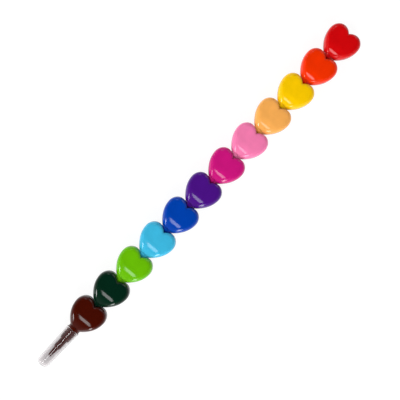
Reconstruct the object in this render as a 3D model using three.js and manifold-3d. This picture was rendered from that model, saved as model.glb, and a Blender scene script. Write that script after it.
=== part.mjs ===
// Stackable crayon: twelve heart cartridges plugged nose to notch, with a clear cap over the first crayon.
// Millimetres. +X runs along the stick from the cap to the last heart, +Y across the hearts, +Z out of their
// front faces. The stick lies on its back, and the origin is the middle of the box it fills, on the floor.
import * as THREE from 'three';
import { mergeVertices } from 'three/addons/utils/BufferGeometryUtils.js';
import Module from 'manifold-3d';

const wasm = await Module();
wasm.setup();

// Hearts from the capped end to the free end, with the sRGB colour of the plastic and its crayon
const HEARTS = [
  { name: 'brown', colour: 0x4a0e05 },
  { name: 'dark_green', colour: 0x04301f },
  { name: 'lime', colour: 0x65b407 },
  { name: 'sky_blue', colour: 0x3cb2dc },
  { name: 'blue', colour: 0x0240ac },
  { name: 'purple', colour: 0x48117c },
  { name: 'magenta', colour: 0xc41577 },
  { name: 'pink', colour: 0xec76a8 },
  { name: 'peach', colour: 0xefa752 },
  { name: 'yellow', colour: 0xf1be03 },
  { name: 'orange', colour: 0xe62f01 },
  { name: 'red', colour: 0xcc100e },
];

// Clearances
const RUNNING_GAP = 0.3; // all round a piece that slides or drops into another
const SEAT_GAP = 0.3; // between the end of a pushed-in piece and what stops it
const STACK_GAP = 0.4; // between the lobes of one heart and the tip of the next

// Heart outline, seen from the front, measured from the flat end of its tip
const HEART_WIDTH = 20;
const HEART_LENGTH = 18.15; // to the tops of the lobes
const LOBE_LENGTH = 6.05; // from the widest part to the tops of the lobes
const LOBE_SPACING = 9.14; // between the tops of the two lobes
const NOTCH_DEPTH = 2.3; // below the tops of the lobes
const FLANK_LIFT = 2.15; // how fast the flank opens beside the tip, sideways
const FLANK_RUN = 1.9; // the same, lengthwise
const FLANK_EASE = 5.9; // length of the pull that turns the flank into the widest part

// Heart shells
const SHELL_WALL = 1.25;
const TIP_WALL = 0.5; // round the hole in the tip
const TIP_BULKHEAD = 1.6; // solid length behind the tip
const RIM_RADIUS = 2.2;
const TIP_RIM_RADIUS = 3.1;
const NOTCH_RIM_RADIUS = 1.2;
const RIM_DRAFT = 0.1; // lean of the side walls
const CORE_DRAFT = 0.6; // lean of the walls inside
const SWELL_LENGTH = 9; // from the tip to where the heart has its full thickness
const CRADLE_WIDTH = 1.1; // rib that carries the holder

// Crayon
const CRAYON_DIAMETER = 4.1;
const CRAYON_EXPOSED = 12.05; // out of the sleeve
const POINT_LENGTH = 7.65;
const POINT_SHOULDER = 1.2; // length over which the stick rounds into its cone
const POINT_BASE_DIAMETER = 3.45;
const POINT_TIP_DIAMETER = 1.8;

// Holder
const SLEEVE_WALL = 0.65;
const SLEEVE_LENGTH = 7.25; // past the neck
const SLEEVE_CHAMFER = 1.45;
const SLEEVE_LIP = 0.3; // wall left at the mouth of the sleeve
const NECK_STEP = 0.5; // of the neck over the sleeve
const NECK_LENGTH = 1.8;
const BARREL_WALL = 0.65;
const BARREL_FLOOR = 1.2;
const BARREL_SETBACK = 0.75; // of its mouth behind the bottom of the notch

// Clear cap
const CAP_WALL = 0.5;
const CAP_HEADROOM = 6.3; // past the point of the crayon
const CAP_TAPER = 0.35; // of its radius, from mouth to closed end
const CAP_DOME = 2;
const CAP_BEAD = 0.15; // of the ring round its mouth
const CAP_BEAD_LENGTH = 1;

// Sides of the turned pieces
const HOLDER_SIDES = 12;
const CRAYON_SIDES = 8;
const CHANNEL_SIDES = 12;
const CAP_SIDES = 20;

// Radii, from the crayon outwards
const crayonRadius = CRAYON_DIAMETER / 2;
const boreRadius = crayonRadius + RUNNING_GAP;
const sleeveRadius = boreRadius + SLEEVE_WALL;
const neckRadius = sleeveRadius + NECK_STEP;
const socketRadius = sleeveRadius + RUNNING_GAP;
const barrelRadius = socketRadius + BARREL_WALL;
const tipHalf = sleeveRadius + RUNNING_GAP + TIP_WALL;
const faceHeight = barrelRadius + RUNNING_GAP + SHELL_WALL; // of a heart's face over its axis

// Stations along a heart's axis: 0 is the end of its tip, and the nose points to the negative side
const pitch = HEART_LENGTH + STACK_GAP;
const sleeveEnd = -(NECK_LENGTH + SLEEVE_LENGTH);
const pointEnd = sleeveEnd - CRAYON_EXPOSED;
const notchVertex = HEART_LENGTH - NOTCH_DEPTH;
const barrelMouth = notchVertex - BARREL_SETBACK;
const socketFloor = pitch + sleeveEnd - SEAT_GAP;
const barrelStart = socketFloor - BARREL_FLOOR;
const crayonBack = pitch + pointEnd - SEAT_GAP;
const widestAt = HEART_LENGTH - LOBE_LENGTH;
const capEnd = pointEnd - CAP_HEADROOM - CAP_WALL;

const stackLength = -capEnd + (HEARTS.length - 1) * pitch + HEART_LENGTH;
const firstTip = -stackLength / 2 - capEnd;

function smooth(value) {
  return THREE.MathUtils.smoothstep(value, 0, 1);
}

// Half thickness of a heart at a station
function swell(u) {
  const rise = Math.sin((Math.PI / 2) * THREE.MathUtils.clamp(u / SWELL_LENGTH, 0, 1));
  return THREE.MathUtils.lerp(tipHalf, faceHeight, rise);
}

// Radius of the rim at a point of the outline: larger beside the tip, smaller in the notch
function rimRadius(at) {
  if (at.x < widestAt) return THREE.MathUtils.lerp(TIP_RIM_RADIUS, RIM_RADIUS, smooth(at.x / SWELL_LENGTH));
  return THREE.MathUtils.lerp(NOTCH_RIM_RADIUS, RIM_RADIUS, smooth(at.y / (LOBE_SPACING / 2)));
}

// One half of the outline, from the tip round the lobe to the bottom of the notch, as points with the
// direction that leads into the heart
function halfOutline([flankSteps, shoulderSteps, notchSteps]) {
  const lobe = LOBE_SPACING / 2;
  const half = HEART_WIDTH / 2;
  const flank = new THREE.CubicBezierCurve(
    new THREE.Vector2(0, tipHalf),
    new THREE.Vector2(FLANK_RUN, tipHalf + FLANK_LIFT),
    new THREE.Vector2(widestAt - FLANK_EASE, half),
    new THREE.Vector2(widestAt, half),
  );
  const shoulder = new THREE.EllipseCurve(
    widestAt, lobe, LOBE_LENGTH, half - lobe, Math.PI / 2, 0, true,
  );
  const notchSide = new THREE.QuadraticBezierCurve(
    new THREE.Vector2(HEART_LENGTH, lobe),
    new THREE.Vector2(HEART_LENGTH, lobe / 2),
    new THREE.Vector2(notchVertex, 0),
  );
  const points = [];
  const runs = [[flank, flankSteps], [shoulder, shoulderSteps], [notchSide, notchSteps]];
  for (const [curve, steps] of runs) {
    for (let i = 0; i < steps; i += 1) points.push(outlinePoint(curve, i / steps));
  }
  const vertex = outlinePoint(notchSide, 1);
  vertex.inward.set(1 / vertex.inward.x, 0); // mitred, so the two halves meet on the centre line
  points.push(vertex);
  return points;
}

// A point of the outline. Beside the tip its inward direction turns to lie in the tip's flat end.
function outlinePoint(curve, t) {
  const at = curve.getPoint(t);
  const along = curve.getTangent(t);
  const inward = new THREE.Vector2(along.y, -along.x);
  const across = new THREE.Vector2(0, -1);
  inward.lerpVectors(across, inward, smooth(at.x / (SWELL_LENGTH / 2))).normalize();
  return { at, inward, rim: rimRadius(at) };
}

// A closed ring of a heart, set in from its outline and lifted to a height, which may follow rim and swell
function heartRing(half, inset, height) {
  const right = half.map(({ at, inward, rim }) => {
    const depth = inset(rim);
    const u = at.x + inward.x * depth;
    return new THREE.Vector3(u, at.y + inward.y * depth, height(u, rim));
  });
  const left = right.slice(0, -1).map((p) => new THREE.Vector3(p.x, -p.y, p.z));
  return [...left, ...right.reverse()];
}

// Solid between a stack of rings that share their count of points, lowest first and level at the bottom.
// The top is closed by strips across the swelling part and by a flat sheet from ring point flatFrom on.
function ringSolid(rings, flatFrom) {
  const count = rings[0].length;
  const vertices = rings.flat();
  const faces = [];
  const quad = (a, b, c, d) => faces.push([a, b, c], [a, c, d]);
  for (let r = 0; r + 1 < rings.length; r += 1) {
    for (let i = 0; i < count; i += 1) {
      const next = (i + 1) % count;
      quad(r * count + i, r * count + next, (r + 1) * count + next, (r + 1) * count + i);
    }
  }
  const top = (rings.length - 1) * count;
  for (let i = 0; i < flatFrom; i += 1) {
    quad(top + i, top + i + 1, top + count - 2 - i, top + count - 1 - i);
  }
  const flat = rings.at(-1).slice(flatFrom, count - flatFrom);
  faces.push(...sheet(flat).map((face) => face.map((i) => top + flatFrom + i)));
  faces.push(...sheet(rings[0]).map(([a, b, c]) => [a, c, b]));
  return solid(vertices, faces);
}

// Triangles that fill a ring, counter-clockwise from above
function sheet(ring) {
  return THREE.ShapeUtils.triangulateShape(ring.map((p) => new THREE.Vector2(p.x, p.y)), []);
}

function solid(vertices, faces) {
  return new wasm.Manifold(new wasm.Mesh({
    numProp: 3,
    vertProperties: new Float32Array(vertices.flatMap((p) => [p.x, p.y, p.z])),
    triVerts: new Uint32Array(faces.flat()),
  }));
}

function toSolid(geometry) {
  geometry.deleteAttribute('normal');
  geometry.deleteAttribute('uv');
  const merged = mergeVertices(geometry, 1e-4);
  return new wasm.Manifold(new wasm.Mesh({
    numProp: 3,
    vertProperties: new Float32Array(merged.attributes.position.array),
    triVerts: new Uint32Array(merged.index.array),
  }));
}

function toGeometry(manifold) {
  const mesh = manifold.getMesh();
  const geometry = new THREE.BufferGeometry();
  geometry.setAttribute('position', new THREE.BufferAttribute(mesh.vertProperties, mesh.numProp));
  geometry.setIndex(new THREE.BufferAttribute(mesh.triVerts, 1));
  return geometry;
}

// A profile of [station, radius] pairs, outside first towards +X, turned round the stick's axis
function turned(profile, sides) {
  const points = profile.map(([u, radius]) => new THREE.Vector2(radius, u));
  const geometry = new THREE.LatheGeometry(points, sides);
  geometry.rotateZ(-Math.PI / 2);
  return geometry;
}

// Block right across a heart between two stations
function crossWall([start, end]) {
  const geometry = new THREE.BoxGeometry(end - start, 2 * HEART_WIDTH, 4 * faceHeight);
  geometry.translate((start + end) / 2, 0, 0);
  return toSolid(geometry);
}

// Space that the holder takes in the two shells, with the pocket for the neck of the next heart
function holderChannel() {
  const past = HEART_LENGTH + RUNNING_GAP;
  return toSolid(turned([
    [-RUNNING_GAP, 0],
    [-RUNNING_GAP, sleeveRadius + RUNNING_GAP],
    [barrelStart, sleeveRadius + RUNNING_GAP],
    [barrelStart, barrelRadius + RUNNING_GAP],
    [barrelMouth, barrelRadius + RUNNING_GAP],
    [barrelMouth, neckRadius + RUNNING_GAP],
    [past, neckRadius + RUNNING_GAP],
    [past, 0],
  ], CHANNEL_SIDES));
}

// Hollow of one shell: inset from the outside by the wall, with the tip, the cradle that carries the holder
// and the wall behind the notch left standing across it
function shellHollow() {
  const half = halfOutline([3, 2, 1]);
  const hollow = ringSolid([
    heartRing(half, () => SHELL_WALL, () => -SHELL_WALL),
    heartRing(half, () => SHELL_WALL + CORE_DRAFT, (u) => swell(u) - SHELL_WALL),
  ], 3);
  const walls = [
    [-RUNNING_GAP, TIP_BULKHEAD],
    [barrelStart - CRADLE_WIDTH, barrelStart],
    [barrelMouth - SHELL_WALL, HEART_LENGTH],
  ];
  return walls.reduce((left, span) => left.subtract(crossWall(span)), hollow);
}

// One moulded shell of a heart, above its parting face
function shellGeometry() {
  const half = halfOutline([4, 4, 2]);
  const rounding = (angle) => heartRing(
    half,
    (rim) => RIM_DRAFT + rim * (1 - Math.cos(angle)),
    (u, rim) => swell(u) - rim * (1 - Math.sin(angle)),
  );
  const outside = ringSolid([
    heartRing(half, () => 0, () => 0),
    rounding(0),
    rounding(Math.PI / 4),
    rounding(Math.PI / 2),
  ], 4);
  return toGeometry(outside.subtract(shellHollow()).subtract(holderChannel()));
}

// Nose sleeve, neck, and the barrel inside the heart, in one turned piece with a bore from end to end
function holderGeometry() {
  return turned([
    [sleeveEnd, boreRadius],
    [sleeveEnd, boreRadius + SLEEVE_LIP],
    [sleeveEnd + SLEEVE_CHAMFER, sleeveRadius],
    [-NECK_LENGTH, sleeveRadius],
    [-NECK_LENGTH, neckRadius],
    [0, neckRadius],
    [0, sleeveRadius],
    [barrelStart, sleeveRadius],
    [barrelStart, barrelRadius],
    [barrelMouth, barrelRadius],
    [barrelMouth, socketRadius],
    [socketFloor, socketRadius],
    [socketFloor, boreRadius],
    [sleeveEnd, boreRadius],
  ], HOLDER_SIDES);
}

// Wax stick with a blunt cone
function crayonGeometry() {
  const coneBase = pointEnd + POINT_LENGTH - POINT_SHOULDER;
  return turned([
    [pointEnd, 0],
    [pointEnd, POINT_TIP_DIAMETER / 2],
    [coneBase, POINT_BASE_DIAMETER / 2],
    [pointEnd + POINT_LENGTH, crayonRadius],
    [crayonBack, crayonRadius],
    [crayonBack, 0],
  ], CRAYON_SIDES);
}

// Thin tube with a rounded closed end and a bead round its mouth, which seats against the neck
function capGeometry() {
  const mouth = -NECK_LENGTH;
  const mouthRadius = sleeveRadius + RUNNING_GAP;
  const domeStart = capEnd + CAP_DOME;
  const endRadius = mouthRadius - CAP_TAPER;
  const dome = (radius, length) => {
    const arc = new THREE.EllipseCurve(domeStart, 0, length, radius, Math.PI, Math.PI / 2, true);
    return arc.getPoints(4).map((p) => [p.x, Math.max(p.y, 0)]);
  };
  return turned([
    ...dome(endRadius + CAP_WALL, CAP_DOME),
    [mouth - CAP_BEAD_LENGTH, mouthRadius + CAP_WALL],
    [mouth - CAP_BEAD_LENGTH, mouthRadius + CAP_WALL + CAP_BEAD],
    [mouth, mouthRadius + CAP_WALL + CAP_BEAD],
    [mouth, mouthRadius],
    ...dome(endRadius, CAP_DOME - CAP_WALL).reverse(),
  ], CAP_SIDES);
}

const glossPlastic = (color) => new THREE.MeshStandardMaterial({ color, roughness: 0.2, metalness: 0 });
const wax = (color) => new THREE.MeshStandardMaterial({ color, roughness: 0.5, metalness: 0 });
const clearPlastic = () => new THREE.MeshStandardMaterial({
  color: 0xf4f7f8, roughness: 0.05, metalness: 0, transparent: true, opacity: 0.25,
});

function named(name, geometry, material) {
  const mesh = new THREE.Mesh(geometry, material);
  mesh.name = name;
  return mesh;
}

// The four pieces of one cartridge
function cartridge({ name, colour }, shapes) {
  const plastic = glossPlastic(colour);
  const back = named(`${name}_heart_back`, shapes.shell, plastic);
  back.rotation.x = Math.PI;
  const unit = new THREE.Group();
  unit.add(
    named(`${name}_heart_front`, shapes.shell, plastic),
    back,
    named(`${name}_holder`, shapes.holder, plastic),
    named(`${name}_crayon`, shapes.crayon, wax(colour)),
  );
  return unit;
}

const shapes = {
  shell: shellGeometry(),
  holder: holderGeometry(),
  crayon: crayonGeometry(),
};

const stick = new THREE.Group();
stick.position.set(firstTip, 0, faceHeight);
HEARTS.forEach((heart, index) => {
  const unit = cartridge(heart, shapes);
  unit.position.x = index * pitch;
  stick.add(unit);
});
stick.add(named('clear_cap', capGeometry(), clearPlastic()));

export default stick;
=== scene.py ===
"""Stackable crayon: twelve glossy heart cartridges plugged nose to notch, with a clear cap on
the first crayon. Lengths are in metres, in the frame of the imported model."""

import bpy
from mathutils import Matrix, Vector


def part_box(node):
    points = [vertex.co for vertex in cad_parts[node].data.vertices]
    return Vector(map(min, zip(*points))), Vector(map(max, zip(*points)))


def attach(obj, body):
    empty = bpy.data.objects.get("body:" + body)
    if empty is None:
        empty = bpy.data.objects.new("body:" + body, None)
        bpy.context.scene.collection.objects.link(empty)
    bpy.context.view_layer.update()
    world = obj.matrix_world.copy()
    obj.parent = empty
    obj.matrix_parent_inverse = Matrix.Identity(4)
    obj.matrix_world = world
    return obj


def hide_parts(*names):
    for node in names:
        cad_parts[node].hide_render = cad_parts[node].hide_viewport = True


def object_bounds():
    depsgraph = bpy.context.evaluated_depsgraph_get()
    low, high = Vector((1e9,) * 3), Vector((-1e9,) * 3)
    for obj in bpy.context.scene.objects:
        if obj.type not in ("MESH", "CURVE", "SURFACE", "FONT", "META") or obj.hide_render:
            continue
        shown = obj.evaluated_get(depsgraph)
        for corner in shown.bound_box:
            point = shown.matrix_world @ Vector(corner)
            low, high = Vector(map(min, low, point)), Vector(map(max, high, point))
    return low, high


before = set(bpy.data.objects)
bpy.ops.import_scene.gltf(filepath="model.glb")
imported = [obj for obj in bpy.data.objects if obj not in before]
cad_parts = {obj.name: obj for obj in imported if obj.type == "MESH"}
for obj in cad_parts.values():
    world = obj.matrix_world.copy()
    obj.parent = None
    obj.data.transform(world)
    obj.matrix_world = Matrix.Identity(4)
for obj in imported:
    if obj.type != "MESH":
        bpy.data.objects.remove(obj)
CAD_BOX = [list(corner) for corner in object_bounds()]

import math

import bmesh
import bpy
from bpy.props import FloatProperty, FloatVectorProperty, IntProperty, PointerProperty
from mathutils import Quaternion, Vector

bl_info = {
    "name": "Stackable Crayon",
    "version": (1, 0, 0),
    "blender": (4, 5, 0),
    "location": "3D View > Sidebar > Crayon",
    "description": "Builds the hearts, holders, crayons, cap and photo stage of a stackable crayon",
    "category": "Object",
}

MM = 0.001
TOUCHING = 1e-7  # Points this close, in metres, are one point
FACE_SPINE = 11 * MM  # From a heart's tip to the end of the line on which its face closes
HEART_CREASE = 35  # Degrees from which an edge of a heart stays sharp
LAMP_DISTANCE = 1.4  # Metres from the stick to most of the lamps

# Hearts from the capped end to the free end
HEARTS = (
    "brown", "dark_green", "lime", "sky_blue", "blue", "purple",
    "magenta", "pink", "peach", "yellow", "orange", "red",
)


def linear(hex_colour):
    """An sRGB hex colour such as "#C8147A" as linear red, green and blue."""
    parts = [int(hex_colour[i:i + 2], 16) / 255 for i in (1, 3, 5)]
    return tuple(c / 12.92 if c <= 0.04045 else ((c + 0.055) / 1.055) ** 2.4 for c in parts)


def length(name, description, default):
    """A size in metres that a user can change."""
    return FloatProperty(
        name=name, description=description, default=default, unit="LENGTH", precision=5,
    )


def colour(name, description, hex_colour):
    """A colour that a user can change, held as linear."""
    return FloatVectorProperty(
        name=name, description=description, default=linear(hex_colour),
        subtype="COLOR", size=3, min=0, max=1,
    )


class HeartSizes(bpy.types.PropertyGroup):
    tip_half: length("Tip", "Half the tip's width, and its height without the drop", 3.8 * MM)
    widest_at: length("Widest at", "From the tip to the widest part", 12.1 * MM)
    lobe_spacing: length("Lobe spacing", "Between the tops of the two lobes", 9.14 * MM)
    notch_depth: length("Notch depth", "From the lobes' tops down to the notch", 2.3 * MM)
    flank_lift: length("Flank lift", "How fast the flank opens beside the tip, sideways", 2.15 * MM)
    flank_run: length("Flank run", "How fast the flank opens beside the tip, lengthwise", 1.9 * MM)
    flank_ease: length("Flank ease", "Pull that turns the flank into the widest part", 5.9 * MM)
    rim_radius: length("Rim radius", "Rounding between face and side", 2.2 * MM)
    tip_rim_radius: length("Tip rim radius", "The same rounding at the tip", 3.1 * MM)
    notch_rim_radius: length("Notch rim radius", "The same rounding in the notch", 1.2 * MM)
    draft: length("Draft", "Lean of the side walls", 0.1 * MM)
    swell_length: length("Swell", "From the tip to the full thickness", 9 * MM)
    tip_drop: length("Tip drop", "Further drop of the face at the tip", 0.4 * MM)
    tip_reach: length("Tip reach", "Length of the further drop, from the tip", 4.2 * MM)
    crown: length("Crown", "Drop of the face from its middle to the sides", 0.5 * MM)
    lobe_drop: length("Lobe drop", "Drop of the face from its middle to the lobes' ends", 0.25 * MM)
    seam: length("Seam", "Chamfer of each shell along the parting line", 0.12 * MM)
    pocket_radius: length("Pocket radius", "Recess in the lobes for the next neck", 3.8 * MM)
    channel_gap: length("Channel gap", "Room round the holder inside the shells", 0.3 * MM)


class HolderSizes(bpy.types.PropertyGroup):
    sleeve_radius: length("Sleeve radius", "Outer radius of the nose sleeve at the neck", 3.27 * MM)
    sleeve_taper: length("Sleeve taper", "Loss of radius from the neck to the chamfer", 0.15 * MM)
    bore_radius: length("Bore radius", "Radius of the bore for the crayon", 2.35 * MM)
    neck_radius: length("Neck radius", "Outer radius of the neck collar", 3.5 * MM)
    neck_length: length("Neck length", "Length of the neck collar", 1.8 * MM)
    socket_radius: length("Socket radius", "Bore for the next nose", 3.3 * MM)
    socket_depth: length("Socket depth", "From the barrel's mouth to its floor", 5.9 * MM)
    barrel_floor: length("Barrel floor", "Wall under the socket", 1.2 * MM)
    chamfer: length("Sleeve chamfer", "Length of the cone at the sleeve's end", 1.45 * MM)
    lip: length("Sleeve lip", "Wall at the sleeve's mouth", 0.3 * MM)
    edge: length("Edge rounding", "Rounding of the moulded edges", 0.15 * MM)


class CrayonSizes(bpy.types.PropertyGroup):
    point_length: length("Point length", "From the shoulder to the tip", 6.4 * MM)
    shoulder: length("Shoulder", "Length over which the stick rounds into the cone", 0.9 * MM)
    cone_radius: length("Cone radius", "Radius at the base of the cone", 1.45 * MM)
    tip_radius: length("Tip radius", "Radius of the blunt tip", 0.9 * MM)


class CapSizes(bpy.types.PropertyGroup):
    wall: length("Wall", "Thickness of the clear wall", 0.5 * MM)
    taper: length("Taper", "Loss of radius from mouth to closed end", 0.35 * MM)
    dome: length("Dome", "Length of the rounded end", 2 * MM)
    bead: length("Bead", "Height of the ring round the mouth", 0.15 * MM)
    bead_length: length("Bead length", "Length of the ring round the mouth", 1 * MM)


class PlasticColours(bpy.types.PropertyGroup):
    brown: colour("Brown", "First heart, by the cap", "#3F0B02")
    dark_green: colour("Dark green", "Second heart", "#032416")
    lime: colour("Lime", "Third heart", "#65B407")
    sky_blue: colour("Sky blue", "Fourth heart", "#3BB0D6")
    blue: colour("Blue", "Fifth heart", "#013EA5")
    purple: colour("Purple", "Sixth heart", "#47117E")
    magenta: colour("Magenta", "Seventh heart", "#C41577")
    pink: colour("Pink", "Eighth heart", "#EC79A9")
    peach: colour("Peach", "Ninth heart", "#F0A854")
    yellow: colour("Yellow", "Tenth heart", "#F3C203")
    orange: colour("Orange", "Eleventh heart", "#EB3001")
    red: colour("Red", "Last heart, at the free end", "#CC070C")
    clear: colour("Clear", "Tint of the clear cap", "#FBF8F9")


class StageSettings(bpy.types.PropertyGroup):
    pixel: length("Pixel", "Real length of one pixel of the photograph", 0.55 * MM)
    frame_pixels: IntProperty(
        name="Frame", description="Width of the photograph", default=400, subtype="PIXEL",
    )
    centre_left: FloatProperty(
        name="Left of centre", description="From the picture's middle to the stick's middle",
        default=4.1, subtype="PIXEL",
    )
    centre_up: FloatProperty(
        name="Above centre", description="From the picture's middle to the stick's middle",
        default=1.85, subtype="PIXEL",
    )
    lean: FloatProperty(
        name="Lean", description="Angle of the stick above the picture's horizontal",
        default=math.radians(47.0), subtype="ANGLE",
    )
    lens: FloatProperty(
        name="Lens", description="Focal length", default=100, subtype="DISTANCE_CAMERA",
    )
    floor_side: length("Floor side", "Side of the square sheet of paper", 4)
    floor_white: FloatProperty(
        name="Floor white", description="Light that the floor sends to the camera",
        default=0.9, min=0, max=1, subtype="FACTOR",
    )


def add_node(tree, kind, inputs=(), **settings):
    """Adds a shader node with its settings. Each input is a pair: a socket, and its value or the
    other node's socket that feeds it."""
    made = tree.nodes.new(kind)
    for name, value in settings.items():
        setattr(made, name, value)
    for socket, value in inputs:
        if isinstance(value, bpy.types.NodeSocket):
            tree.links.new(value, made.inputs[socket])
        else:
            made.inputs[socket].default_value = value
    return made


def new_material(name):
    """A material without nodes, and its node tree."""
    material = bpy.data.materials.new(name)
    material.use_nodes = True
    material.node_tree.nodes.clear()
    return material, material.node_tree


def shade(factor, rgb):
    """A colour times a factor, with full alpha."""
    return tuple(min(1.0, factor * c) for c in rgb) + (1.0,)


def gloss_abs(name, rgb):
    """Injection-moulded ABS from a polished mould: even deep colour, sharp reflections and a
    faint orange peel."""
    material, tree = new_material(name)
    coords = add_node(tree, "ShaderNodeTexCoord").outputs["Object"]
    # Flow of the pigment, some 6 mm wide
    flow = add_node(
        tree, "ShaderNodeTexNoise",
        [("Vector", coords), ("Scale", 1 / (6 * MM)), ("Detail", 3.0)],
    )
    tone = add_node(tree, "ShaderNodeValToRGB", [("Fac", flow.outputs["Fac"])])
    tone.color_ramp.elements[0].position = 0.3
    tone.color_ramp.elements[0].color = shade(0.94, rgb)
    tone.color_ramp.elements[1].position = 0.7
    tone.color_ramp.elements[1].color = shade(1.05, rgb)
    # Orange peel, some 0.7 mm wide
    peel = add_node(
        tree, "ShaderNodeTexNoise",
        [("Vector", coords), ("Scale", 1 / (0.7 * MM)), ("Detail", 1.0)],
    )
    # Haze from handling, drawn 0.2 mm wide, coarser than it is, so that it shows
    haze = add_node(
        tree, "ShaderNodeTexNoise",
        [("Vector", coords), ("Scale", 1 / (0.2 * MM)), ("Detail", 4.0)],
    )
    rough = add_node(
        tree, "ShaderNodeMapRange",
        [("Value", haze.outputs["Fac"]), ("To Min", 0.05), ("To Max", 0.1)],
    )
    bump = add_node(
        tree, "ShaderNodeBump",
        [("Height", peel.outputs["Fac"]), ("Strength", 0.15), ("Distance", 0.01 * MM)],
    )
    surface = add_node(tree, "ShaderNodeBsdfPrincipled", [
        ("Base Color", tone.outputs["Color"]),
        ("Roughness", rough.outputs["Result"]),
        ("Normal", bump.outputs["Normal"]),
        ("IOR", 1.53),
    ])
    add_node(tree, "ShaderNodeOutputMaterial", [("Surface", surface.outputs["BSDF"])])
    return material


def moulded_wax(name, rgb):
    """Hard moulded wax: deep colour with a soft lustre and lengthwise drawing marks."""
    material, tree = new_material(name)
    coords = add_node(tree, "ShaderNodeTexCoord").outputs["Object"]
    # Marks along the stick, 0.3 mm wide and 3 mm long
    stretched = add_node(
        tree, "ShaderNodeMapping", [("Vector", coords), ("Scale", (0.1, 1.0, 1.0))],
    )
    marks = add_node(
        tree, "ShaderNodeTexNoise",
        [("Vector", stretched.outputs["Vector"]), ("Scale", 1 / (0.3 * MM)), ("Detail", 4.0)],
    )
    tone = add_node(tree, "ShaderNodeValToRGB", [("Fac", marks.outputs["Fac"])])
    tone.color_ramp.elements[0].color = shade(0.8, rgb)
    tone.color_ramp.elements[1].color = shade(1.1, rgb)
    rough = add_node(
        tree, "ShaderNodeMapRange",
        [("Value", marks.outputs["Fac"]), ("To Min", 0.06), ("To Max", 0.12)],
    )
    bump = add_node(
        tree, "ShaderNodeBump",
        [("Height", marks.outputs["Fac"]), ("Strength", 0.3), ("Distance", 0.02 * MM)],
    )
    surface = add_node(tree, "ShaderNodeBsdfPrincipled", [
        ("Base Color", tone.outputs["Color"]),
        ("Roughness", rough.outputs["Result"]),
        ("Normal", bump.outputs["Normal"]),
        ("IOR", 1.45),
    ])
    add_node(tree, "ShaderNodeOutputMaterial", [("Surface", surface.outputs["BSDF"])])
    return material


def clear_polystyrene(name, rgb):
    """Injection-moulded crystal polystyrene: glass-clear wall, bright edges, faint flow lines and
    a veil of fine scuffs."""
    material, tree = new_material(name)
    coords = add_node(tree, "ShaderNodeTexCoord").outputs["Object"]
    # Flow lines along the cap, 1 mm wide and 8 mm long
    stretched = add_node(
        tree, "ShaderNodeMapping", [("Vector", coords), ("Scale", (0.12, 1.0, 1.0))],
    )
    lines = add_node(
        tree, "ShaderNodeTexNoise",
        [("Vector", stretched.outputs["Vector"]), ("Scale", 1 / (1 * MM)), ("Detail", 2.0)],
    )
    rough = add_node(
        tree, "ShaderNodeMapRange",
        [("Value", lines.outputs["Fac"]), ("To Min", 0.02), ("To Max", 0.06)],
    )
    bump = add_node(
        tree, "ShaderNodeBump",
        [("Height", lines.outputs["Fac"]), ("Strength", 0.2), ("Distance", 0.02 * MM)],
    )
    # The scuffs from handling veil one hundredth of the clear wall
    surface = add_node(tree, "ShaderNodeBsdfPrincipled", [
        ("Base Color", (*rgb, 1.0)),
        ("Roughness", rough.outputs["Result"]),
        ("Normal", bump.outputs["Normal"]),
        ("IOR", 1.59),
        ("Transmission Weight", 0.99),
    ])
    # Light passes the thin wall straight, so that the crayon inside is lit
    path = add_node(tree, "ShaderNodeLightPath")
    lights = add_node(
        tree, "ShaderNodeMath",
        [(0, path.outputs["Is Shadow Ray"]), (1, path.outputs["Is Diffuse Ray"])],
        operation="MAXIMUM",
    )
    wall = add_node(tree, "ShaderNodeBsdfTransparent", [("Color", shade(0.95, rgb))])
    both = add_node(
        tree, "ShaderNodeMixShader",
        [(0, lights.outputs[0]), (1, surface.outputs["BSDF"]), (2, wall.outputs["BSDF"])],
    )
    add_node(tree, "ShaderNodeOutputMaterial", [("Surface", both.outputs["Shader"])])
    return material


def smoothstep(value):
    """Eases from 0 to 1, and holds outside that range."""
    value = min(1.0, max(0.0, value))
    return value * value * (3 - 2 * value)


def mix(a, b, t):
    """Value on the way from a, where t is 0, to b, where t is 1."""
    return a + (b - a) * t


def bezier(points, t):
    """Point of a Bezier curve of any degree, and the direction it runs in."""
    row = [Vector(p) for p in points]
    while len(row) > 2:
        row = [a.lerp(b, t) for a, b in zip(row, row[1:])]
    return row[0].lerp(row[1], t), (row[1] - row[0]).normalized()


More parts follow.
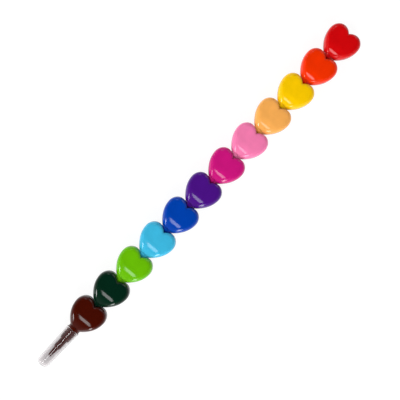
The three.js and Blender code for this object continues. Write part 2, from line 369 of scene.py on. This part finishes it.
class HeartForm:
    """The outside of one heart: lengths run from the tip, heights from the parting plane."""

    def __init__(self, sizes):
        low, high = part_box("red_heart_front")
        self.sizes = sizes
        self.length = high.x - low.x
        self.half_width = high.y
        self.height = high.z - low.z

    def swell(self, u):
        """Height of the face along the heart, which falls off faster close to the tip."""
        s = self.sizes
        rise = math.sin(math.pi / 2 * min(1.0, max(0.0, u / s.swell_length)))
        beside_tip = max(0.0, 1 - max(0.0, u) / s.tip_reach) ** 2
        return mix(s.tip_half, self.height, rise) - s.tip_drop * beside_tip

    def rim(self, at):
        """Radius of the rim at a point of the outline: larger beside the tip, and smaller in the
        notch."""
        s = self.sizes
        if at.x < s.widest_at:
            return mix(s.tip_rim_radius, s.rim_radius, smoothstep(at.x / s.swell_length))
        return mix(s.notch_rim_radius, s.rim_radius, smoothstep(at.y / (s.lobe_spacing / 2)))

    def face(self, u, y):
        """Height of the face, crowned across and towards the lobes."""
        s = self.sizes
        across = min(1.0, (y / self.half_width) ** 2)
        along = max(0.0, (u - s.swell_length) / (self.length - s.swell_length)) ** 2
        return self.swell(u) - s.crown * across - s.lobe_drop * along

    def half_outline(self, flank_steps, shoulder_steps, notch_steps):
        """Points from the tip round one lobe to the notch, each with the direction that leads
        inwards."""
        s = self.sizes
        lobe = s.lobe_spacing / 2
        reach = Vector((self.length - s.widest_at, self.half_width - lobe))
        flank = [
            (0, s.tip_half),
            (s.flank_run, s.tip_half + s.flank_lift),
            (s.widest_at - s.flank_ease, self.half_width),
            (s.widest_at, self.half_width),
        ]
        notch = [(self.length, lobe), (self.length, lobe / 2), (self.length - s.notch_depth, 0)]
        samples = [bezier(flank, i / flank_steps) for i in range(flank_steps)]
        for i in range(shoulder_steps):
            turn = math.pi / 2 * i / shoulder_steps
            at = Vector((s.widest_at + reach.x * math.sin(turn), lobe + reach.y * math.cos(turn)))
            along = Vector((reach.x * math.cos(turn), -reach.y * math.sin(turn))).normalized()
            samples.append((at, along))
        samples += [bezier(notch, i / notch_steps) for i in range(notch_steps + 1)]
        outline = []
        for at, along in samples:
            inward = Vector((along.y, -along.x))
            beside_tip = smoothstep(at.x / (s.swell_length / 2))
            outline.append((at, Vector((0, -1)).lerp(inward, beside_tip).normalized()))
        # In the notch both lobes meet, so the last point moves along the axis, as far as they do
        vertex, inward = outline[-1]
        outline[-1] = (vertex, Vector((1 / inward.x, 0)))
        return outline

    def rings(self, outline, side_steps, rim_steps, face_steps):
        """Rings of one half, from the parting plane up the side, over the rim and across the
        face."""
        rings = []
        for i in range(side_steps):
            rings.append([self.side_point(at, inward, i / side_steps) for at, inward in outline])
        for i in range(rim_steps + 1):
            angle = math.pi / 2 * i / rim_steps
            rings.append([self.rim_point(at, inward, angle) for at, inward in outline])
        edge = rings[-1]
        spine = min(self.sizes.widest_at, FACE_SPINE)
        for i in range(1, face_steps + 1):
            t = i / face_steps
            ring = []
            for p in edge:
                u = mix(p.x, min(p.x, spine), t)
                y = p.y * (1 - t)
                ring.append(Vector((u, y, self.face(u, y))))
            rings.append(ring)
        return rings

    def side_point(self, at, inward, t):
        """Point of the side wall, from 0 at the parting plane to 1 at the rim."""
        top = self.rim_point(at, inward, 0)
        return Vector((mix(at.x, top.x, t), mix(at.y, top.y, t), top.z * t))

    def rim_point(self, at, inward, angle):
        """Point of the rim's rounding, from 0 at the wall to a right angle at the face."""
        radius = self.rim(at)
        depth = self.sizes.draft + radius * (1 - math.cos(angle))
        u = at.x + inward.x * depth
        y = at.y + inward.y * depth
        return Vector((u, y, self.face(u, y) - radius * (1 - math.sin(angle))))


def skin(rings):
    """Closed mesh over both halves of a heart: strips between rings, flat below and at the tip."""
    made = bmesh.new()
    whole = []
    for ring in rings:
        left = [Vector((p.x, -p.y, p.z)) for p in ring[:-1]]
        whole.append([made.verts.new(p) for p in left + list(reversed(ring))])
    for lower, upper in zip(whole, whole[1:]):
        for i in range(len(lower) - 1):
            made.faces.new((lower[i], lower[i + 1], upper[i + 1], upper[i]))
    made.faces.new(list(reversed(whole[0])))
    tip = [ring[-1] for ring in whole] + [ring[0] for ring in reversed(whole)]
    made.faces.new(tip)
    bmesh.ops.remove_doubles(made, verts=made.verts, dist=TOUCHING)
    bmesh.ops.recalc_face_normals(made, faces=made.faces)
    return made


def to_mesh(made, name, crease):
    """Mesh of a bmesh, smooth but for edges sharper than the crease angle in degrees."""
    mesh = bpy.data.meshes.new(name)
    made.to_mesh(mesh)
    made.free()
    finish_shading(mesh, crease)
    return mesh


def finish_shading(mesh, crease):
    """Smooth a mesh but for edges sharper than the crease angle in degrees."""
    for face in mesh.polygons:
        face.use_smooth = True
    mesh.set_sharp_from_angle(angle=math.radians(crease))


def eased(profile, radius, steps=3):
    """Profile of (station, radius) pairs with the corners between its ends rounded."""
    out = [Vector(profile[0])]
    for before, corner, after in zip(profile, profile[1:], profile[2:]):
        corner = Vector(corner)
        to_before = Vector(before) - corner
        to_after = Vector(after) - corner
        # A rounding takes two fifths of a side at most, so that one at each end fits
        reach = min(radius, to_before.length / 2.5, to_after.length / 2.5)
        start = corner + to_before.normalized() * reach
        end = corner + to_after.normalized() * reach
        # A point an eighth of the reach away, on either side, keeps the long surfaces straight
        out.append(start + to_before.normalized() * reach / 8)
        out += [bezier([start, corner, end], i / steps)[0] for i in range(steps + 1)]
        out.append(end + to_after.normalized() * reach / 8)
    out.append(Vector(profile[-1]))
    return out


def turned(profile, sides):
    """Profile of (station, radius) pairs turned round the X axis. It ends on the axis or closes
    on itself."""
    made = bmesh.new()
    closed = (Vector(profile[0]) - Vector(profile[-1])).length < TOUCHING
    stations = [Vector(p) for p in (profile[:-1] if closed else profile)]
    rings = []
    for p in stations:
        if p.y < TOUCHING:
            rings.append([made.verts.new((p.x, 0, 0))] * sides)
            continue
        ring = []
        for i in range(sides):
            turn = 2 * math.pi * i / sides
            ring.append(made.verts.new((p.x, p.y * math.cos(turn), p.y * math.sin(turn))))
        rings.append(ring)
    pairs = list(zip(rings, rings[1:]))
    if closed:
        pairs.append((rings[-1], rings[0]))
    for first, second in pairs:
        for i in range(sides):
            j = (i + 1) % sides
            corners = [first[i], first[j], second[j], second[i]]
            # On the axis two corners are one, and the face is a triangle
            made.faces.new(list(dict.fromkeys(corners)))
    bmesh.ops.recalc_face_normals(made, faces=made.faces)
    return made


def heart_origin(heart):
    """The middle of a heart's tip, on the stick's axis."""
    low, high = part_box(f"{heart}_heart_front")
    return Vector((low.x, (low.y + high.y) / 2, low.z))


def span(node, origin):
    """Where a node starts and ends along the stick, from an origin, and half its height."""
    low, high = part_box(node)
    return low.x - origin.x, high.x - origin.x, (high.z - low.z) / 2


def plastic(heart):
    """The ABS of one heart, which its shells and its holder share."""
    name = f"{heart}_gloss_abs"
    rgb = getattr(bpy.context.scene.crayon_colours, heart)
    return bpy.data.materials.get(name) or gloss_abs(name, tuple(rgb))


def place(node, made_as, mesh, material, at, body):
    """The finished piece that stands for a node: its own copy of the mesh, riding on the node's
    body."""
    name = f"{node}_{made_as}"
    own = mesh.copy()
    own.name = name
    own.materials.clear()
    own.materials.append(material)
    piece = bpy.data.objects.new(name, own)
    bpy.context.scene.collection.objects.link(piece)
    piece.location = at
    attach(piece, body)
    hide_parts(node)
    return piece


def place_in_heart(heart, part, made_as, mesh, material):
    """A piece of one of the hearts, modelled from the middle of the heart's tip."""
    return place(
        f"{heart}_{part}", made_as, mesh, material, heart_origin(heart), f"{heart}_unit",
    )


class CRAYON_OT_heart_shells(bpy.types.Operator):
    """Mould the front and back shells of the twelve hearts"""

    bl_idname = "crayon.heart_shells"
    bl_label = "Heart Shells"

    def execute(self, context):
        form = HeartForm(context.scene.crayon_heart)
        outline = form.half_outline(flank_steps=36, shoulder_steps=32, notch_steps=16)
        rings = form.rings(outline, side_steps=4, rim_steps=12, face_steps=14)
        outside = to_mesh(skin(rings), "heart_outside", HEART_CREASE)
        shell = self.cut(context, outside, self.channel(context, form))
        for heart in HEARTS:
            for side, turn in (("front", 0), ("back", math.pi)):
                piece = place_in_heart(heart, f"heart_{side}", "shell", shell, plastic(heart))
                piece.rotation_euler.x = turn
        return {"FINISHED"}

    def channel(self, context, form):
        """The hole for the holder, wider behind for the barrel, and the pocket for the next
        neck."""
        sizes = context.scene.crayon_heart
        holder = context.scene.crayon_holder
        _, mouth, barrel = span("red_holder", heart_origin("red"))
        barrel += sizes.channel_gap
        sleeve = holder.sleeve_radius + sizes.channel_gap
        start = mouth - holder.socket_depth - holder.barrel_floor
        # The cutter stands a millimetre out of the heart at both ends
        near, far = -1 * MM, form.length + 1 * MM
        profile = [
            (near, 0), (near, sleeve), (start, sleeve), (start, barrel), (mouth, barrel),
            (mouth, sizes.pocket_radius), (far, sizes.pocket_radius), (far, 0),
        ]
        return to_mesh(turned(profile, sides=64), "holder_channel", HEART_CREASE)

    def cut(self, context, outside, channel):
        """The shell: the outside with its seam chamfered and the channel taken out."""
        body = bpy.data.objects.new("heart_blank", outside)
        tool = bpy.data.objects.new("channel_tool", channel)
        for obj in (body, tool):
            context.scene.collection.objects.link(obj)
        edge = body.modifiers.new("seam", "BEVEL")
        edge.width = context.scene.crayon_heart.seam
        edge.segments = 2
        edge.limit_method = "ANGLE"
        edge.angle_limit = math.radians(50)
        bore = body.modifiers.new("bore", "BOOLEAN")
        bore.operation = "DIFFERENCE"
        bore.solver = "EXACT"
        bore.object = tool
        graph = context.evaluated_depsgraph_get()
        mesh = bpy.data.meshes.new_from_object(body.evaluated_get(graph))
        if not mesh.polygons:
            raise RuntimeError("the channel's cutter left nothing of the heart")
        finish_shading(mesh, HEART_CREASE)
        for obj in (body, tool):
            bpy.data.objects.remove(obj)
        return mesh


class CRAYON_OT_holders(bpy.types.Operator):
    """Turn the twelve holders: nose sleeve, neck collar and socket barrel"""

    bl_idname = "crayon.holders"
    bl_label = "Holders"

    def execute(self, context):
        s = context.scene.crayon_holder
        nose, mouth, barrel = span("red_holder", heart_origin("red"))
        floor = mouth - s.socket_depth
        start = floor - s.barrel_floor
        sleeve = [
            (nose, s.bore_radius), (nose, s.bore_radius + s.lip),
            (nose + s.chamfer, s.sleeve_radius - s.sleeve_taper),
            (-s.neck_length, s.sleeve_radius),
        ]
        collar = [(-s.neck_length, s.neck_radius), (0, s.neck_radius), (0, s.sleeve_radius)]
        outside = [(start, s.sleeve_radius), (start, barrel), (mouth, barrel)]
        socket = [(mouth, s.socket_radius), (floor, s.socket_radius), (floor, s.bore_radius)]
        # A station close behind the mouth keeps the bore's shading straight
        bore = [(nose + 1 * MM, s.bore_radius), (nose, s.bore_radius)]
        rounded = eased(sleeve + collar + outside + socket + bore, s.edge)
        mesh = to_mesh(turned(rounded, sides=72), "holder", crease=40)
        for heart in HEARTS:
            place_in_heart(heart, "holder", "moulding", mesh, plastic(heart))
        return {"FINISHED"}


class CRAYON_OT_crayons(bpy.types.Operator):
    """Cast the twelve wax sticks with their blunt points"""

    bl_idname = "crayon.crayons"
    bl_label = "Crayons"

    def execute(self, context):
        s = context.scene.crayon_stick
        point, back, radius = span("red_crayon", heart_origin("red"))
        profile = [
            (point, 0), (point, s.tip_radius),
            (point + s.point_length - s.shoulder, s.cone_radius),
            (point + s.point_length, radius), (back, radius), (back, 0),
        ]
        rounded = eased(profile, radius=0.6 * MM, steps=6)
        mesh = to_mesh(turned(rounded, sides=64), "crayon", crease=60)
        for heart in HEARTS:
            wax = moulded_wax(f"{heart}_wax", tuple(getattr(context.scene.crayon_colours, heart)))
            place_in_heart(heart, "crayon", "stick", mesh, wax)
        return {"FINISHED"}


class CRAYON_OT_cap(bpy.types.Operator):
    """Mould the clear cap with its rounded end and the bead round its mouth"""

    bl_idname = "crayon.cap"
    bl_label = "Clear Cap"

    def execute(self, context):
        s = context.scene.crayon_cap
        origin = heart_origin("brown")
        end, mouth, half_height = span("clear_cap", origin)
        outer = half_height - s.bead
        inner = outer - s.wall
        far_outer = outer - s.taper
        far_inner = inner - s.taper
        shoulder = end + s.dome
        ring = mouth - s.bead_length
        # Stations close to the ends of the long wall keep its shading straight
        straight = shoulder + 0.1 * MM
        before_ring = ring - 0.1 * MM
        outside = self.dome(shoulder, s.dome, far_outer) + [
            Vector((straight, far_outer)),
            Vector((before_ring, outer)),
            Vector((ring, outer)),
            Vector((ring + s.bead, outer + s.bead)),
            Vector((mouth - s.bead, outer + s.bead)),
            Vector((mouth, outer)),
            Vector((mouth, inner)),
        ]
        inner_dome = self.dome(shoulder, s.dome - s.wall, far_inner)
        inside = [Vector((straight, far_inner))] + list(reversed(inner_dome))
        mesh = to_mesh(turned(outside + inside, sides=96), "cap", crease=50)
        tint = tuple(context.scene.crayon_colours.clear)
        material = clear_polystyrene("clear_polystyrene", tint)
        place("clear_cap", "moulding", mesh, material, origin, "cap")
        return {"FINISHED"}

    def dome(self, shoulder, depth, radius, steps=16):
        """Quarter of an ellipse from the axis to the cap's side."""
        turns = [math.pi / 2 * i / steps for i in range(steps + 1)]
        return [Vector((shoulder - depth * math.cos(a), radius * math.sin(a))) for a in turns]


def soft_lamp(
    name, azimuth, elevation, size, power, distance=LAMP_DISTANCE, roll=0, glare=True, inside=False,
):
    """A softbox that looks at the middle of the stick. Its direction is in degrees: azimuth from
    +X, and elevation from the floor. Its size is along the elevation and across it, in metres,
    and its power in watts. Without glare it is cross-polarised, so that gloss doesn't mirror it.
    Only with inside do the pieces in the clear cap mirror it too."""
    lamp = bpy.data.lights.new(name, "AREA")
    lamp.shape = "RECTANGLE"
    lamp.size, lamp.size_y = size
    lamp.energy = power
    obj = bpy.data.objects.new(name, lamp)
    bpy.context.scene.collection.objects.link(obj)
    across = Quaternion((0, 0, 1), math.radians(azimuth))
    tilt = Quaternion((0, 1, 0), math.radians(90 - elevation))
    turn = across @ tilt @ Quaternion((0, 0, 1), math.radians(roll))
    obj.rotation_mode = "QUATERNION"
    obj.rotation_quaternion = turn
    obj.location = turn @ Vector((0, 0, distance))
    obj.visible_glossy = glare
    obj.visible_transmission = inside
    return obj


def light_only(lamp, piece):
    """Shields all pieces but one from a lamp, as flags on stands do."""
    lit = bpy.data.collections.new(f"lit_by_{lamp.name}")
    lit.objects.link(bpy.data.objects[piece])
    lamp.light_linking.receiver_collection = lit


class CRAYON_OT_stage(bpy.types.Operator):
    """Lay the white floor, set the soft lamps and place the camera straight above"""

    bl_idname = "crayon.stage"
    bl_label = "Photo Stage"

    def execute(self, context):
        self.camera(context)
        self.floor(context)
        self.lamps()
        self.world(context)
        context.scene.view_settings.view_transform = "Standard"
        return {"FINISHED"}

    def camera(self, context):
        s = context.scene.crayon_stage
        width = s.pixel * s.frame_pixels
        low, high = (Vector(corner) for corner in CAD_BOX)
        middle = (low + high) / 2
        data = bpy.data.cameras.new("camera")
        data.lens = s.lens
        distance = width * data.lens / data.sensor_width
        camera = bpy.data.objects.new("camera", data)
        context.scene.collection.objects.link(camera)
        right = Vector((math.cos(s.lean), -math.sin(s.lean), 0))
        up = Vector((math.sin(s.lean), math.cos(s.lean), 0))
        offset = right * s.centre_left * s.pixel - up * s.centre_up * s.pixel
        camera.location = middle + offset + Vector((0, 0, distance))
        camera.rotation_euler = (0, 0, -s.lean)
        context.scene.camera = camera

    def floor(self, context):
        bpy.ops.mesh.primitive_plane_add(size=context.scene.crayon_stage.floor_side)
        floor = context.object
        floor.name = "floor"
        floor.data.materials.append(self.paper(context))

    def paper(self, context):
        """White paper sweep. Camera, gloss and clear plastic see its own white. Close to the stick,
            gloss sees that white darkened by painted shade from ambient occlusion. It still takes
            the stick's shadow."""
        white = context.scene.crayon_stage.floor_white
        material, tree = new_material("white_paper")
        path = add_node(tree, "ShaderNodeLightPath")
        direct = add_node(
            tree, "ShaderNodeMath",
            [(0, path.outputs["Is Camera Ray"]), (1, path.outputs["Is Transmission Ray"])],
            operation="MAXIMUM",
        )
        seen = add_node(
            tree, "ShaderNodeMath",
            [(0, direct.outputs[0]), (1, path.outputs["Is Glossy Ray"])],
            operation="MAXIMUM",
        )
        # Diffuse light meets plain paper. What the camera sees glows, and a thin coat takes shadow
        matt = add_node(tree, "ShaderNodeBsdfDiffuse", [("Color", (*linear("#E7E7E7"), 1))])
        thin = add_node(tree, "ShaderNodeBsdfDiffuse", [("Color", (*linear("#6C6C6C"), 1))])
        plain = add_node(tree, "ShaderNodeEmission", [("Strength", white)])
        # Painted shade: ambient occlusion darkens the glow that gloss sees within 15 mm of the
        # stick
        painted_shade = add_node(tree, "ShaderNodeAmbientOcclusion", [("Distance", 15 * MM)], samples=8)
        painted_shade_glow = add_node(
            tree, "ShaderNodeEmission",
            [("Color", painted_shade.outputs["Color"]), ("Strength", white)],
        )
        glow = add_node(
            tree, "ShaderNodeMixShader",
            [(0, path.outputs["Is Glossy Ray"]), (1, plain.outputs[0]), (2, painted_shade_glow.outputs[0])],
        )
        lit = add_node(tree, "ShaderNodeAddShader", [(0, thin.outputs[0]), (1, glow.outputs[0])])
        surface = add_node(
            tree, "ShaderNodeMixShader",
            [(0, seen.outputs[0]), (1, matt.outputs[0]), (2, lit.outputs[0])],
        )
        add_node(tree, "ShaderNodeOutputMaterial", [("Surface", surface.outputs[0])])
        return material

    def lamps(self):
        # Large softboxes give the colours their plain level
        soft_lamp("head_softbox", 0, 30, (0.9, 0.8), 1.6, glare=False)
        soft_lamp("upper_softbox", 135, 45, (0.9, 0.8), 4.0, glare=False)
        soft_lamp("key_softbox", 225, 35, (0.9, 0.8), 12.9, glare=False)
        soft_lamp("lower_softbox", 270, 35, (0.9, 0.8), 5.1, glare=False)
        soft_lamp("side_softbox", 90, 15, (0.9, 0.5), 13.6, glare=False)
        # Smaller lamps draw the highlights on lobes, faces, flanks, tips and notches
        soft_lamp("head_panel", 0, 14, (1.2, 0.4), 1.16)
        soft_lamp("face_strip", 184, 66, (0.24, 0.28), 0.85, distance=1.67, roll=12, inside=True)
        soft_lamp("flank_box", 218, 14, (0.7, 0.17), 2.8)
        soft_lamp("tip_box", 155, 29, (0.42, 0.22), 2.8)
        soft_lamp("notch_box", 50, 50, (0.6, 0.25), 0.5)
        # The light line along the clear cap, kept off the flat faces of the first hearts
        cap_strip = soft_lamp("cap_strip", 180, 76, (0.7, 0.28), 4.2, distance=1.43)
        light_only(cap_strip, "clear_cap_moulding")

    def world(self, context):
        """Studio room: grey walls, a dark ceiling over the camera, and white where the camera
        itself looks."""
        world = bpy.data.worlds.new("studio")
        world.use_nodes = True
        tree = world.node_tree
        tree.nodes.clear()
        coords = add_node(tree, "ShaderNodeTexCoord").outputs["Generated"]
        height = add_node(tree, "ShaderNodeSeparateXYZ", [(0, coords)]).outputs["Z"]
        room = add_node(tree, "ShaderNodeValToRGB", [("Fac", height)])
        wall_foot, ceiling = room.color_ramp.elements
        wall_foot.color = (*linear("#939393"), 1)
        ceiling.position = 0.9
        ceiling.color = (*linear("#191919"), 1)
        wall_top = room.color_ramp.elements.new(0.6)
        wall_top.color = (*linear("#7C7C7C"), 1)
        path = add_node(tree, "ShaderNodeLightPath")
        walls = add_node(
            tree, "ShaderNodeBackground", [("Color", room.outputs["Color"]), ("Strength", 1.0)],
        )
        white = add_node(
            tree, "ShaderNodeBackground",
            [("Color", (*linear("#FFFFFF"), 1)), ("Strength", 1.0)],
        )
        surface = add_node(
            tree, "ShaderNodeMixShader",
            [(0, path.outputs["Is Camera Ray"]), (1, walls.outputs[0]), (2, white.outputs[0])],
        )
        add_node(tree, "ShaderNodeOutputWorld", [("Surface", surface.outputs[0])])
        context.scene.world = world


GROUPS = {
    "crayon_heart": HeartSizes,
    "crayon_holder": HolderSizes,
    "crayon_stick": CrayonSizes,
    "crayon_cap": CapSizes,
    "crayon_colours": PlasticColours,
    "crayon_stage": StageSettings,
}
STEPS = (
    CRAYON_OT_heart_shells, CRAYON_OT_holders, CRAYON_OT_crayons, CRAYON_OT_cap, CRAYON_OT_stage,
)


class CRAYON_PT_panel(bpy.types.Panel):
    """Sizes, colours and building steps of the stackable crayon"""

    bl_idname = "CRAYON_PT_panel"
    bl_label = "Stackable Crayon"
    bl_space_type = "VIEW_3D"
    bl_region_type = "UI"
    bl_category = "Crayon"

    def draw(self, context):
        for step in STEPS:
            self.layout.operator(step.bl_idname)
        for name in GROUPS:
            group = getattr(context.scene, name)
            box = self.layout.box()
            for key in group.__annotations__:
                box.prop(group, key)


CLASSES = (*GROUPS.values(), *STEPS, CRAYON_PT_panel)


def register():
    for cls in CLASSES:
        bpy.utils.register_class(cls)
    for name, cls in GROUPS.items():
        setattr(bpy.types.Scene, name, PointerProperty(type=cls))


def unregister():
    for name in GROUPS:
        delattr(bpy.types.Scene, name)
    for cls in reversed(CLASSES):
        bpy.utils.unregister_class(cls)


def main():
    """Registers the classes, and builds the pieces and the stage."""
    register()
    bpy.ops.crayon.heart_shells()
    bpy.ops.crayon.holders()
    bpy.ops.crayon.crayons()
    bpy.ops.crayon.cap()
    bpy.ops.crayon.stage()


if __name__ == "__main__":
    main()
